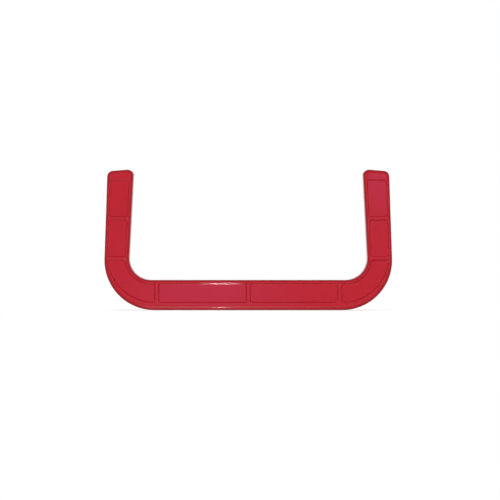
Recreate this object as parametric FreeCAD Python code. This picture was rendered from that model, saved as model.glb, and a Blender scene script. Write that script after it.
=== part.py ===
import FreeCAD, Part

import math
import os

# A bowstring separator: a U-shaped hand tool that holds a bow's string apart from its cables.
# Two hollow moulded shells meet face to face on the middle plane and are held by tapping screws
# from the rear. The string lies in a notch across each tip, and the cables lie in a groove
# along the underside of the base. Both are open on the seam between the shells.
#
# Frame: X along the base, Z up along the legs, Y through the thickness with the front at -Y.
# The origin is on the underside of the base, at the middle of its length and thickness.
# Lengths are in millimetres and angles in degrees.

# Outline of the U
overall_width = 267.0
overall_height = 130.5
thickness = 20.0
base_height = 28.1
leg_root_width = 23.1
outer_corner_radius = 46.4
inner_corner_radius = 20.1
outer_edge_lean = 1.95
inner_edge_lean = 2.94
tip_tilt = 4.7
tip_corner_radius = 5.5
edge_round = 4.6
seam_chamfer = 0.3

# Recessed panels and the ribs between them, on both faces
leg_rim_outer = 3.1
leg_rim_inner = 3.4
base_rim_lower = 7.4
base_rim_upper = 3.4
panel_outer_radius = 43.0
panel_inner_radius = 23.2
tip_solid_length = 9.8
leg_rib_width = 3.4
base_rib_width = 3.7
base_rib_setback = 2.4
panel_depth = 1.9
panel_corner_radius = 1.6
lip_round = 0.9
panel_floor_round = 0.8
panel_skin = 2.5
cell_setback = 2.0

# Groove for the cables and notches for the string
groove_width = 6.4
groove_depth = 3.8
groove_floor_round = 1.5
groove_end_radius = 70.0
groove_end_angle = 60.0
notch_width = 5.0
notch_depth = 5.5
notch_crown_radius = 70.0
mouth_round = 0.8

# Pan-head tapping screws of size 2.9 x 9.5, with their thread drawn as a plain shank
screw_shank_diameter = 2.5
screw_length = 9.5
screw_point_length = 1.4
screw_point_diameter = 0.8
screw_head_diameter = 5.6
screw_head_height = 2.4
screw_head_round = 0.9
screw_recess_span = 3.2
screw_recess_width = 0.9
screw_recess_depth = 1.3
screw_setback = 8.0
base_screw_shares = (0.25, 0.75)   # of the way along each base panel

# Fits and walls around the screws and the locating pegs
head_sink = 0.5
head_clearance = 0.3
shank_clearance = 0.35
thread_clearance = 0.02
hole_end_clearance = 0.5
boss_wall = 1.8
peg_diameter = 3.0
peg_length = 3.0
peg_clearance = 0.05
peg_chamfer = 0.4

# Cutting solids run this far past the faces that they cut
overrun = 20.0

# Points closer than this are taken as one, and faces that turn less than this as smooth
same_place = 1e-4
smooth_turn = 10.0

half_thickness = thickness / 2
cut_reach = half_thickness + 2 * overrun
panel_floor = half_thickness - panel_depth
cavity_depth = panel_floor - panel_skin
head_seat = panel_floor - head_sink - screw_head_height
panel_top = overall_height - tip_solid_length
along_y = FreeCAD.Vector(0, 1, 0)
origin = FreeCAD.Vector(0, 0, 0)


def at(x, z, y=0.0):
    return FreeCAD.Vector(x, y, z)


# A straight edge of the outline is (angle of its normal, distance from the origin).
def level(height):
    return (90.0, height)


def upright(x):
    return (0.0, x)


def beside(line, distance):
    return (line[0], line[1] + distance)


def tangent_line(centre, radius, angle):
    turn = math.radians(angle)
    return (angle, centre.x * math.cos(turn) + centre.z * math.sin(turn) + radius)


def crossing(first, second):
    first_turn = math.radians(first[0])
    second_turn = math.radians(second[0])
    spread = math.sin(second_turn - first_turn)
    x = (first[1] * math.sin(second_turn) - second[1] * math.sin(first_turn)) / spread
    z = (second[1] * math.cos(first_turn) - first[1] * math.cos(second_turn)) / spread
    return at(x, z)


def rounded_loop(corners):
    """Closed wire through (point, radius) corners, with a tangent arc at each radius."""
    runs = []
    arcs = []
    for index, (corner, radius) in enumerate(corners):
        back = (corners[index - 1][0] - corner).normalize()
        ahead = (corners[(index + 1) % len(corners)][0] - corner).normalize()
        if radius == 0:
            runs.append((corner, corner))
            continue
        half_angle = back.getAngle(ahead) / 2
        reach = radius / math.tan(half_angle)
        bisector = (back + ahead).normalize()
        crown = corner + bisector * (radius / math.sin(half_angle) - radius)
        start = corner + back * reach
        end = corner + ahead * reach
        arcs.append(Part.Arc(start, crown, end).toShape())
        runs.append((start, end))
    lines = [Part.makeLine(runs[index - 1][1], runs[index][0]) for index in range(len(runs))]
    return Part.Wire(Part.__sortEdges__(lines + arcs))


def slab(wire, low_y, high_y):
    """Prism of a loop drawn at Y = 0, between two Y values."""
    face = Part.Face(wire)
    face.translate(at(0, 0, low_y))
    return face.extrude(at(0, 0, high_y - low_y))


def rod(centre, diameter, low_y, high_y):
    return Part.makeCylinder(diameter / 2, high_y - low_y, at(centre.x, centre.z, low_y), along_y)


def joined(shapes):
    return shapes[0].multiFuse(shapes[1:])


def mirror_x(shape):
    return shape.mirror(origin, FreeCAD.Vector(1, 0, 0))


def mirror_y(shape):
    return shape.mirror(origin, along_y)


def both_sides(point):
    return [point, at(-point.x, point.z)]


# The right half of the U, as straight edges and the corners where they meet
outer_centre = at(overall_width / 2 - outer_corner_radius, outer_corner_radius)
inner_centre = at(overall_width / 2 - leg_root_width - inner_corner_radius,
                  base_height + inner_corner_radius)
outer_edge = tangent_line(outer_centre, outer_corner_radius, outer_edge_lean)
inner_edge = tangent_line(inner_centre, inner_corner_radius, inner_edge_lean)
tip_centre_line = beside(inner_edge, tip_corner_radius)
tip_centre = crossing(tip_centre_line, level(overall_height - tip_corner_radius))
tip_edge = tangent_line(tip_centre, tip_corner_radius, 90.0 - tip_tilt)

# The band that the panels and the hollow cells share
band_outer = beside(outer_edge, -leg_rim_outer)
band_inner = beside(inner_edge, leg_rim_inner)
band_bottom = level(base_rim_lower)
band_top = level(base_height - base_rim_upper)
lower_rib_height = inner_centre.z
upper_rib_height = (lower_rib_height + leg_rib_width / 2 + panel_top) / 2
base_rib_x = outer_centre.x - base_rib_setback
band_mid_height = (band_bottom[1] + band_top[1]) / 2


def leg_middle(height):
    outer = crossing(band_outer, level(height))
    inner = crossing(band_inner, level(height))
    return (outer + inner) / 2


def outline():
    right = [
        (crossing(level(0.0), outer_edge), outer_corner_radius),
        (crossing(outer_edge, tip_edge), tip_corner_radius),
        (crossing(tip_edge, inner_edge), tip_corner_radius),
        (crossing(inner_edge, level(base_height)), inner_corner_radius),
    ]
    left = [(at(-corner.x, corner.z), radius) for corner, radius in reversed(right)]
    return rounded_loop(right + left)


def leg_rib_bar(height):
    bar = Part.makeBox(leg_root_width * 2, 2 * cut_reach, leg_rib_width,
                       at(-leg_root_width, -leg_rib_width / 2, -cut_reach))
    bar.rotate(origin, along_y, -outer_edge_lean)
    bar.translate(leg_middle(height))
    return bar


def base_rib_bar():
    return Part.makeBox(base_rib_width, 2 * cut_reach, base_height * 2,
                        at(base_rib_x - base_rib_width / 2, -base_height / 2, -cut_reach))


def sharp_side_edges(solid):
    """Edges along Y where two side faces meet at a corner, not smoothly."""
    picked = []
    for edge in solid.Edges:
        start = edge.Vertexes[0].Point
        end = edge.Vertexes[-1].Point
        if abs(start.x - end.x) + abs(start.z - end.z) > same_place:
            continue
        normals = []
        for face in solid.ancestorsOfType(edge, Part.Face):
            u, v = face.Surface.parameter(start)
            normals.append(face.normalAt(u, v))
        if normals[0].getAngle(normals[1]) > math.radians(smooth_turn):
            picked.append(edge)
    return picked


def cells(low_y, high_y, top):
    """The eight panel shapes between the ribs, as prisms between two Y values, up to a height."""
    band = rounded_loop([
        (crossing(band_bottom, upright(base_rib_width / 2)), 0),
        (crossing(band_bottom, band_outer), panel_outer_radius),
        (crossing(band_outer, level(top)), 0),
        (crossing(band_inner, level(top)), 0),
        (crossing(band_inner, band_top), panel_inner_radius),
        (crossing(band_top, upright(base_rib_width / 2)), 0),
    ])
    bars = [base_rib_bar(), leg_rib_bar(lower_rib_height), leg_rib_bar(upper_rib_height)]
    right = slab(band, low_y, high_y).cut(joined(bars)).Solids
    rounded = [cell.makeFillet(panel_corner_radius, sharp_side_edges(cell)) for cell in right]
    return rounded + [mirror_x(cell) for cell in rounded]


def edges_at(shape, y):
    return [edge for edge in shape.Edges
            if abs(edge.BoundBox.YMin - y) < same_place and abs(edge.BoundBox.YMax - y) < same_place]


def panel_tools():
    """Solids that cut the panels into the front face, with a rounded foot to each wall."""
    tools = []
    for cell in cells(-half_thickness - overrun, -panel_floor, panel_top):
        tools.append(cell.makeFillet(panel_floor_round, edges_at(cell, -panel_floor)))
    return tools


def groove_tool():
    """The space under the base that the cables lie in, running out part of the way round each corner."""
    half_turn = math.radians(groove_end_angle / 2)
    turn_start = at(outer_centre.x, groove_depth)
    turn_corner = turn_start + at(groove_end_radius * math.tan(half_turn), 0)
    rise = at(math.cos(2 * half_turn), math.sin(2 * half_turn))
    right = [
        (turn_corner, groove_end_radius),
        (turn_corner + rise * (2 * groove_end_radius * math.tan(half_turn)), 0),
        (at(overall_width, -overrun), 0),
    ]
    left = [(at(-corner.x, corner.z), radius) for corner, radius in reversed(right)]
    space = slab(rounded_loop(right + left), -groove_width / 2, groove_width / 2)
    floor_edges = []
    for side in (-groove_width / 2, groove_width / 2):
        for edge in edges_at(space, side):
            middle = edge.valueAt((edge.FirstParameter + edge.LastParameter) / 2)
            if abs(middle.x) < turn_corner.x and middle.z > 0:
                floor_edges.append(edge)
    return space.makeFillet(groove_floor_round, floor_edges)


def notch_tool():
    """The string's space across the right tip: a slot with a half-round floor that falls away outwards."""
    radius = notch_width / 2
    floor_height = overall_height - notch_depth
    start = crossing(tip_centre_line, level(floor_height))
    low = floor_height + radius
    high = overall_height + overrun
    profile = Part.Wire([
        Part.Arc(at(start.x, low, -radius), at(start.x, floor_height), at(start.x, low, radius)).toShape(),
        Part.makeLine(at(start.x, low, radius), at(start.x, high, radius)),
        Part.makeLine(at(start.x, high, radius), at(start.x, high, -radius)),
        Part.makeLine(at(start.x, high, -radius), at(start.x, low, -radius)),
    ])
    face = Part.Face(profile)
    hub = at(start.x, floor_height - notch_crown_radius)
    sweep = math.degrees(math.asin(2 * leg_root_width / notch_crown_radius))
    return face.revolve(hub, along_y, sweep).fuse(face.extrude(at(-leg_root_width, 0)))


def screw_points():
    """Where the screws stand: two in each leg, one in each corner and four in the base."""
    mid_radius = (panel_outer_radius + panel_inner_radius) / 2
    corner_hub = at((outer_centre.x + inner_centre.x) / 2, band_mid_height + mid_radius)
    outwards_and_down = at(1.0, -1.0).normalize()
    right = [
        leg_middle(panel_top - screw_setback),
        leg_middle((lower_rib_height + upper_rib_height) / 2),
        corner_hub + outwards_and_down * mid_radius,
    ]
    cell_start = base_rib_width / 2
    cell_length = base_rib_x - base_rib_width
    for share in base_screw_shares:
        right.append(at(cell_start + cell_length * share, band_mid_height))
    return [point for each in right for point in both_sides(each)]


def peg_points():
    """Where the locating pegs stand: on the middle of five of the ribs."""
    points = [at(0.0, band_mid_height)]
    points += both_sides(at(base_rib_x, band_mid_height))
    points += both_sides(leg_middle(upper_rib_height))
    return points


def over(border, edges):
    """Those of the edges that lie over a border drawn at Y = 0, whatever their own Y."""
    picked = []
    for edge in edges:
        middle = edge.valueAt((edge.FirstParameter + edge.LastParameter) / 2)
        if border.distToShape(Part.Vertex(at(middle.x, middle.z)))[0] < same_place:
            picked.append(edge)
    return picked


def mouth_edges(shell):
    """Edges on the side of the U around the notches and the groove."""
    reach = max(groove_width, notch_width) / 2
    near_seam = [edge for edge in shell.Edges
                 if -reach - same_place < edge.BoundBox.YMin < -same_place]
    return over(outline(), near_seam)


def panel_lips(shell):
    """Edges where the panels' walls meet the front face and the rounding around it."""
    borders = [edge for cell in cells(0, half_thickness, panel_top) for edge in edges_at(cell, 0)]
    near_front = [edge for edge in shell.Edges
                  if edge.BoundBox.YMax < -panel_floor - panel_floor_round - same_place]
    return over(Part.makeCompound(borders), near_front)


def common_shell(screw_boss_diameter):
    """One shell on the -Y side, without its screw holes and pegs."""
    shell = slab(outline(), -half_thickness, 0)
    shell = shell.makeFillet(edge_round, edges_at(shell, -half_thickness))
    notch = notch_tool()
    shell = shell.cut(groove_tool()).cut(notch).cut(mirror_x(notch))
    shell = shell.makeFillet(mouth_round, mouth_edges(shell))
    shell = shell.makeChamfer(seam_chamfer, over(outline(), edges_at(shell, 0)))
    for tool in panel_tools():
        shell = shell.cut(tool)
    shell = shell.makeFillet(lip_round, panel_lips(shell))
    peg_boss_diameter = peg_diameter + 2 * boss_wall
    bosses = [rod(point, screw_boss_diameter, -thickness, overrun) for point in screw_points()]
    bosses += [rod(point, peg_boss_diameter, -thickness, overrun) for point in peg_points()]
    for cell in cells(-cavity_depth, overrun, panel_top - cell_setback):
        shell = shell.cut(cell.cut(joined(bosses)))
    return shell


def front_shell():
    pilot_diameter = screw_shank_diameter + 2 * thread_clearance
    shell = common_shell(pilot_diameter + 2 * boss_wall)
    pilot_depth = screw_length - head_seat + hole_end_clearance
    for point in screw_points():
        shell = shell.cut(rod(point, pilot_diameter, -pilot_depth, overrun))
    for point in peg_points():
        peg = rod(point, peg_diameter, -cavity_depth, peg_length)
        shell = shell.fuse(peg.makeChamfer(peg_chamfer, edges_at(peg, peg_length)))
    return shell.removeSplitter()


def rear_shell():
    counterbore_diameter = screw_head_diameter + 2 * head_clearance
    hole_diameter = screw_shank_diameter + 2 * shank_clearance
    socket_diameter = peg_diameter + 2 * peg_clearance
    shell = mirror_y(common_shell(counterbore_diameter + 2 * boss_wall))
    for point in screw_points():
        shell = shell.cut(rod(point, hole_diameter, -overrun, overrun))
        shell = shell.cut(rod(point, counterbore_diameter, head_seat, overrun))
    for point in peg_points():
        shell = shell.cut(rod(point, socket_diameter, -overrun, peg_length + hole_end_clearance))
    return shell.removeSplitter()


def screw(point):
    """One screw, with its head towards the rear and its point towards the front."""
    tip_y = head_seat - screw_length
    shank_end = tip_y + screw_point_length
    head_top = head_seat + screw_head_height
    shank = rod(point, screw_shank_diameter, shank_end, head_seat)
    cone = Part.makeCone(screw_point_diameter / 2, screw_shank_diameter / 2, screw_point_length,
                         at(point.x, point.z, tip_y), along_y)
    head = rod(point, screw_head_diameter, head_seat, head_top)
    head = head.makeFillet(screw_head_round, edges_at(head, head_top))
    body = joined([head, shank, cone])
    for span, width in ((screw_recess_span, screw_recess_width), (screw_recess_width, screw_recess_span)):
        corner = at(point.x - span / 2, point.z - width / 2, head_top - screw_recess_depth)
        body = body.cut(Part.makeBox(span, overrun, width, corner))
    return body


def shell_screws():
    return Part.makeCompound([screw(point) for point in screw_points()])


os.makedirs("parts", exist_ok=True)
for name, shape in (("front_shell", front_shell()),
                    ("rear_shell", rear_shell()),
                    ("shell_screws", shell_screws())):
    shape.exportStep(os.path.join("parts", name + ".step"))
    print(name, "solids", len(shape.Solids), "valid", shape.isValid(), "volume", round(shape.Volume, 1))
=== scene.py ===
import math

import bpy
import numpy as np
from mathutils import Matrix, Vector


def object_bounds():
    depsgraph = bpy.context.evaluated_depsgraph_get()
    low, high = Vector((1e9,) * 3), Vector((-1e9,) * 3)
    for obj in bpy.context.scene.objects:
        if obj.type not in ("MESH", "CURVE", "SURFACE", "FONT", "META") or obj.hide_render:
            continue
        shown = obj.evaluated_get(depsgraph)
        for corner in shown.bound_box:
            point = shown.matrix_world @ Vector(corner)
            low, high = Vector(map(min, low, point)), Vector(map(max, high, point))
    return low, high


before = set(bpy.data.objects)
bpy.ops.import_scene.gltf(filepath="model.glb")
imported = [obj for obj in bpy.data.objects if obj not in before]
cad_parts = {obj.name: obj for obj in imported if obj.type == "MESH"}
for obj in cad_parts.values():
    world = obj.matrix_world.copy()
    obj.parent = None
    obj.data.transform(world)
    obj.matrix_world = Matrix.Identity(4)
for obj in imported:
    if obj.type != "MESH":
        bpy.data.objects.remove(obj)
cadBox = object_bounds()
print("frame loaded:", ", ".join(sorted(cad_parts)))


def linear(hexColour):
    # sRGB hex to linear: below 0.04045 divide by 12.92, above it ((c + 0.055) / 1.055) to the power 2.4
    channels = [int(hexColour[i:i + 2], 16) / 255 for i in (1, 3, 5)]
    return [c / 12.92 if c <= 0.04045 else ((c + 0.055) / 1.055) ** 2.4 for c in channels] + [1.0]


def addNode(tree, kind, settings=None, links=None):
    # settings go to a property by name or to an input socket by name or number, links to an input socket
    node = tree.nodes.new(kind)
    for name, value in (settings or {}).items():
        if isinstance(name, str) and name in node.bl_rna.properties:
            setattr(node, name, value)
        else:
            node.inputs[name].default_value = value
    for name, source in (links or {}).items():
        tree.links.new(source, node.inputs[name])
    return node


def newMaterial(name):
    material = bpy.data.materials.new(name)
    material.use_nodes = True
    material.node_tree.nodes.clear()
    return material, material.node_tree


# Colours are sRGB hex and lengths are metres throughout.
redNylon = {
    "deep": "#B81E2A",          # pigment where the melt ran thick
    "full": "#BC212D",          # pigment over most of the shell
    "rubbed": "#BE2634",        # edges that hands and strings have dulled
    "rubbedFrom": 0.52,         # pointiness of an edge at which the rubbing starts
    "rubbedTo": 0.60,
    "rubbedShare": 0.35,
    "cloud": 0.028,             # across a patch of slightly different pigment
    "cloudDetail": 3.0,         # finer layers of noise within a patch
    "cloudRoughness": 0.5,      # how strong each finer layer is
    "peel": 0.0011,             # between the ripples of the polished mould
    "peelDetail": 1.0,
    "peelDepth": 0.000003,
    "scuffLength": 0.014,       # along the run of the hand
    "scuffWidth": 0.0006,
    "scuffTurn": 0.5,           # radians about Y
    "scuffDetail": 2.0,
    "scuffFrom": 0.56,          # noise at which a scuff starts
    "scuffTo": 0.74,
    "glossy": 0.20,             # roughness of clean skin
    "dulled": 0.26,             # roughness within a scuff
    "ior": 1.53,
}


def redMouldedNylon(look):
    # Nylon injected against polished steel: an even, saturated red with a soft gloss, faint ripples in
    # the reflections, and fine dull scuffs from handling.
    material, tree = newMaterial("redMouldedNylon")
    place = addNode(tree, "ShaderNodeTexCoord").outputs["Object"]
    cloud = addNode(tree, "ShaderNodeTexNoise",
                    {"Scale": 1 / look["cloud"], "Detail": look["cloudDetail"],
                     "Roughness": look["cloudRoughness"]},
                    {"Vector": place})
    pigment = addNode(tree, "ShaderNodeMix",
                      {"data_type": "RGBA", 6: linear(look["deep"]), 7: linear(look["full"])},
                      {0: cloud.outputs["Fac"]})
    wear = addNode(tree, "ShaderNodeMapRange",
                   {"From Min": look["rubbedFrom"], "From Max": look["rubbedTo"],
                    "To Min": 0.0, "To Max": look["rubbedShare"]},
                   {"Value": addNode(tree, "ShaderNodeNewGeometry").outputs["Pointiness"]})
    colour = addNode(tree, "ShaderNodeMix", {"data_type": "RGBA", 7: linear(look["rubbed"])},
                     {0: wear.outputs["Result"], 6: pigment.outputs[2]})
    along = addNode(tree, "ShaderNodeMapping",
                    {"Scale": (1 / look["scuffLength"], 1 / look["scuffWidth"], 1 / look["scuffWidth"]),
                     "Rotation": (0.0, look["scuffTurn"], 0.0)},
                    {"Vector": place})
    scuffs = addNode(tree, "ShaderNodeTexNoise", {"Scale": 1.0, "Detail": look["scuffDetail"]},
                     {"Vector": along.outputs["Vector"]})
    dull = addNode(tree, "ShaderNodeMapRange",
                   {"From Min": look["scuffFrom"], "From Max": look["scuffTo"],
                    "To Min": look["glossy"], "To Max": look["dulled"]},
                   {"Value": scuffs.outputs["Fac"]})
    peel = addNode(tree, "ShaderNodeTexNoise",
                   {"Scale": 1 / look["peel"], "Detail": look["peelDetail"]},
                   {"Vector": place})
    ripple = addNode(tree, "ShaderNodeBump", {"Strength": 1.0, "Distance": look["peelDepth"]},
                     {"Height": peel.outputs["Fac"]})
    surface = addNode(tree, "ShaderNodeBsdfPrincipled", {"IOR": look["ior"]},
                      {"Base Color": colour.outputs[2], "Roughness": dull.outputs["Result"],
                       "Normal": ripple.outputs["Normal"]})
    addNode(tree, "ShaderNodeOutputMaterial", None, {"Surface": surface.outputs["BSDF"]})
    return material


zincSteel = {
    "bright": "#D3D7DB",        # zinc with a clear blue passivation
    "grey": "#A9AFB7",
    "grain": 0.0009,            # across a crystal patch
    "grainDetail": 2.0,         # finer layers of noise within a patch
    "polished": 0.22,           # roughness of the brightest patches
    "matt": 0.38,
}


def zincPlatedSteel(look):
    # Cold-headed steel with bright zinc: a cool silver with small patches that are more and less shiny.
    material, tree = newMaterial("zincPlatedSteel")
    place = addNode(tree, "ShaderNodeTexCoord").outputs["Object"]
    grain = addNode(tree, "ShaderNodeTexNoise",
                    {"Scale": 1 / look["grain"], "Detail": look["grainDetail"]},
                    {"Vector": place})
    colour = addNode(tree, "ShaderNodeMix",
                     {"data_type": "RGBA", 6: linear(look["grey"]), 7: linear(look["bright"])},
                     {0: grain.outputs["Fac"]})
    shine = addNode(tree, "ShaderNodeMapRange", {"To Min": look["matt"], "To Max": look["polished"]},
                    {"Value": grain.outputs["Fac"]})
    surface = addNode(tree, "ShaderNodeBsdfPrincipled", {"Metallic": 1.0},
                      {"Base Color": colour.outputs[2], "Roughness": shine.outputs["Result"]})
    addNode(tree, "ShaderNodeOutputMaterial", None, {"Surface": surface.outputs["BSDF"]})
    return material


redMaterial = redMouldedNylon(redNylon)
zincMaterial = zincPlatedSteel(zincSteel)
for nodeName, material in (("front_shell", redMaterial),
                           ("rear_shell", redMaterial),
                           ("shell_screws", zincMaterial)):
    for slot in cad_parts[nodeName].material_slots:
        slot.material = material
print("materials on the shells and the screws")


def surfaceMesh(name, x, y, z):
    # a grid of points (x, y, z), each a 2-D array over the two parameters, joined into quads
    rows, columns = x.shape
    points = np.stack([x, y, z], axis=-1).reshape(-1, 3)
    number = np.arange(rows * columns).reshape(rows, columns)
    quads = np.stack([number[:-1, :-1], number[:-1, 1:], number[1:, 1:], number[1:, :-1]], axis=-1)
    mesh = bpy.data.meshes.new(name)
    mesh.from_pydata(points, [], quads.reshape(-1, 4).tolist())
    mesh.update()
    piece = bpy.data.objects.new(name, mesh)
    bpy.context.scene.collection.objects.link(piece)
    return piece


def backgroundSeen(tree):
    # 1 for the rays that should meet the white background: those of the eye, of gloss and of glass
    ray = addNode(tree, "ShaderNodeLightPath").outputs
    either = addNode(tree, "ShaderNodeMath", {"operation": "MAXIMUM"},
                     {0: ray["Is Camera Ray"], 1: ray["Is Glossy Ray"]})
    return addNode(tree, "ShaderNodeMath", {"operation": "MAXIMUM"},
                   {0: either.outputs[0], 1: ray["Is Transmission Ray"]}).outputs[0]


floor = {
    "side": 1.2,
    "steps": 9,                     # grid points along a side
    "below": 0.0002,                # under the part's base, so the two never share a plane
    "colour": "#F8F8F8",
    "shadowShare": 0.30,            # how much of the paper's own light and shade shows
    "fadeShape": (0.3, 1.0, 1.0),   # the fade is an oval, longer along the part
    "fadeFrom": 0.06,               # in front and behind, where the paper begins to fade away
    "fadeTo": 0.16,
}


def studioFloor(look):
    # flat floor: x = a, y = b, z = minus a hair, for a and b over a square
    steps = np.linspace(-look["side"] / 2, look["side"] / 2, look["steps"])
    x, y = np.meshgrid(steps, steps)
    piece = surfaceMesh("studioFloor", x, y, np.full_like(x, -look["below"]))
    material, tree = newMaterial("whiteBackgroundPaper")   # matt paper that fades into the background
    place = addNode(tree, "ShaderNodeTexCoord").outputs["Object"]
    oval = addNode(tree, "ShaderNodeMapping", {"Scale": look["fadeShape"]}, {"Vector": place})
    away = addNode(tree, "ShaderNodeVectorMath", {"operation": "LENGTH"}, {0: oval.outputs["Vector"]})
    fade = addNode(tree, "ShaderNodeMapRange",
                   {"interpolation_type": "SMOOTHSTEP",
                    "From Min": look["fadeFrom"], "From Max": look["fadeTo"]},
                   {"Value": away.outputs["Value"]})
    seen = addNode(tree, "ShaderNodeMath", {"operation": "MULTIPLY", 1: 1 - look["shadowShare"]},
                   {0: backgroundSeen(tree)})
    paper = addNode(tree, "ShaderNodeBsdfDiffuse", {"Color": linear(look["colour"])})
    white = addNode(tree, "ShaderNodeEmission", {"Strength": 1.0})
    both = addNode(tree, "ShaderNodeMixShader", None,
                   {0: seen.outputs[0], 1: paper.outputs[0], 2: white.outputs[0]})
    clear = addNode(tree, "ShaderNodeBsdfTransparent")
    faded = addNode(tree, "ShaderNodeMixShader", None,
                    {0: fade.outputs["Result"], 1: both.outputs[0], 2: clear.outputs[0]})
    addNode(tree, "ShaderNodeOutputMaterial", None, {"Surface": faded.outputs[0]})
    piece.data.materials.append(material)
    piece.visible_shadow = False            # the low lamps shine up through it
    piece.visible_diffuse = False           # it throws no light of its own back up at the part
    piece.visible_glossy = False            # gloss meets the grey room below it instead


room = {
    "radius": 0.6,
    "rings": 24,
    "spokes": 49,
    "closedFrom": 0.5,          # degrees from the camera's side, where the dome starts
    "openFrom": 135.0,          # degrees, past which only the white background is seen
    "colour": "#BEBED4",
    "level": 0.20,
    "glows": [                  # place on the walls, reach, colour, level
        ((-0.050, -0.600, 0.001), 0.14, "#00A0FF", 1.22),
        ((0.186, -0.525, 0.205), 0.15, "#20A6FF", 2.05),
        ((-0.085, -0.370, -0.460), 0.27, "#FFE6EA", 2.1),
    ],
}


def studioRoom(look):
    # a dome about the middle: x = r sin a cos b, y = -r cos a, z = r sin a sin b, a from the camera's side
    down = np.radians(np.linspace(look["closedFrom"], look["openFrom"], look["rings"]))
    a, b = np.meshgrid(down, np.linspace(0, 2 * np.pi, look["spokes"]), indexing="ij")
    r = look["radius"]
    piece = surfaceMesh("studioRoom", r * np.sin(a) * np.cos(b), -r * np.cos(a), r * np.sin(a) * np.sin(b))
    material, tree = newMaterial("greyPaintedWalls")       # dim walls with the soft glow of windows on them
    place = addNode(tree, "ShaderNodeTexCoord").outputs["Object"]
    wall = addNode(tree, "ShaderNodeEmission", {"Color": linear(look["colour"]), "Strength": look["level"]})
    shade = wall.outputs[0]
    for spot, reach, colour, level in look["glows"]:
        away = addNode(tree, "ShaderNodeVectorMath", {"operation": "DISTANCE", 1: spot}, {0: place})
        strength = addNode(tree, "ShaderNodeMapRange",
                           {"interpolation_type": "SMOOTHSTEP", "From Max": reach,
                            "To Min": level, "To Max": 0.0},
                           {"Value": away.outputs["Value"]})
        glow = addNode(tree, "ShaderNodeEmission", {"Color": linear(colour)},
                       {"Strength": strength.outputs["Result"]})
        shade = addNode(tree, "ShaderNodeAddShader", None, {0: shade, 1: glow.outputs[0]}).outputs[0]
    addNode(tree, "ShaderNodeOutputMaterial", None, {"Surface": shade})
    piece.data.materials.append(material)
    piece.visible_camera = False            # only gloss meets the room
    piece.visible_diffuse = False
    piece.visible_shadow = False
    piece.visible_transmission = False


studioFloor(floor)
studioRoom(room)
print("floor and room in place")

light = {
    "world": 0.20,              # strength of the even light from all round
    "aim": (0.0, 0.0, 0.06),    # near the middle of the part
    "softboxes": [              # name, place in front, width, height, watts; each has a twin behind
        ("High", (0.0, -1.75, 0.95), 1.60, 0.70, 13.0),
        ("Low", (0.0, -1.75, -0.90), 1.60, 0.70, 9.0),
        ("Left", (-0.90, -1.60, 0.10), 0.50, 0.90, 8.0),
        ("Right", (0.90, -1.60, 0.10), 0.50, 0.90, 8.0),
    ],
    # lowLamp and floorLamp are name, place, aim, width, height, watts
    "lowLamp": ("lowLamp", (-0.031, -0.20, -0.23), (-0.025, -0.008, 0.036), 0.004, 0.004, 0.0022),
    "lowSpread": 7.5,           # degrees across its beam
    "floorLamp": ("floorLamp", (0.0, -0.2, 1.2), (0.0, 0.0, 0.0), 1.2, 1.2, 14.0),
}


def aimed(thing, place, aim):
    step = np.array(aim) - np.array(place)
    thing.location = place
    thing.rotation_euler = (math.atan2(math.hypot(step[0], step[1]), -step[2]),
                            0.0,
                            math.atan2(-step[0], step[1]))


def addLamp(name, place, aim, width, height, watts):
    lamp = bpy.data.lights.new(name, "AREA")
    lamp.shape = "RECTANGLE"
    lamp.size = width
    lamp.size_y = height
    lamp.energy = watts
    holder = bpy.data.objects.new(name, lamp)
    bpy.context.scene.collection.objects.link(holder)
    aimed(holder, place, aim)
    return holder


def lightScene(look):
    world = bpy.data.worlds.new("studio")
    bpy.context.scene.world = world
    world.use_nodes = True
    tree = world.node_tree
    tree.nodes.clear()
    evenWhite = linear("#FFFFFF")
    fill = addNode(tree, "ShaderNodeBackground", {"Color": evenWhite, "Strength": look["world"]})
    white = addNode(tree, "ShaderNodeBackground", {"Color": evenWhite, "Strength": 1.0})
    both = addNode(tree, "ShaderNodeMixShader", None,
                   {0: backgroundSeen(tree), 1: fill.outputs[0], 2: white.outputs[0]})
    addNode(tree, "ShaderNodeOutputWorld", None, {"Surface": both.outputs[0]})
    for end, way in (("front", 1), ("rear", -1)):
        for name, (x, y, z), width, height, watts in look["softboxes"]:
            lamp = addLamp(end + name, (x, way * y, z), look["aim"], width, height, watts)
            lamp.visible_glossy = False
    # a small low lamp makes the fine highlights along the base, and only gloss meets it
    lowLamp = addLamp(*look["lowLamp"])
    lowLamp.data.spread = math.radians(look["lowSpread"])
    lowLamp.visible_diffuse = False
    # the white paper has a lamp of its own, which lights nothing else but still throws the part's shadow
    paperOnly = bpy.data.collections.new("paperOnly")
    paperOnly.objects.link(bpy.data.objects["studioFloor"])
    addLamp(*look["floorLamp"]).light_linking.receiver_collection = paperOnly


camera = {
    "place": (0.0016, -1.660, 0.0559),
    "frontFace": cadBox[0][1],  # Y of the part's front face
    "fieldWidth": 0.4626,       # across the view at the front face
    "sensorWidth": 36.0,        # millimetres
}


def placeCamera(look):
    lens = bpy.data.cameras.new("camera")
    lens.sensor_width = look["sensorWidth"]
    distance = look["frontFace"] - look["place"][1]
    lens.lens = lens.sensor_width * distance / look["fieldWidth"]
    holder = bpy.data.objects.new("camera", lens)
    bpy.context.scene.collection.objects.link(holder)
    aimed(holder, look["place"], (look["place"][0], 0.0, look["place"][2]))
    bpy.context.scene.camera = holder


lightScene(light)
placeCamera(camera)
bpy.context.scene.view_settings.view_transform = "Standard"
print("lamps and camera in place")
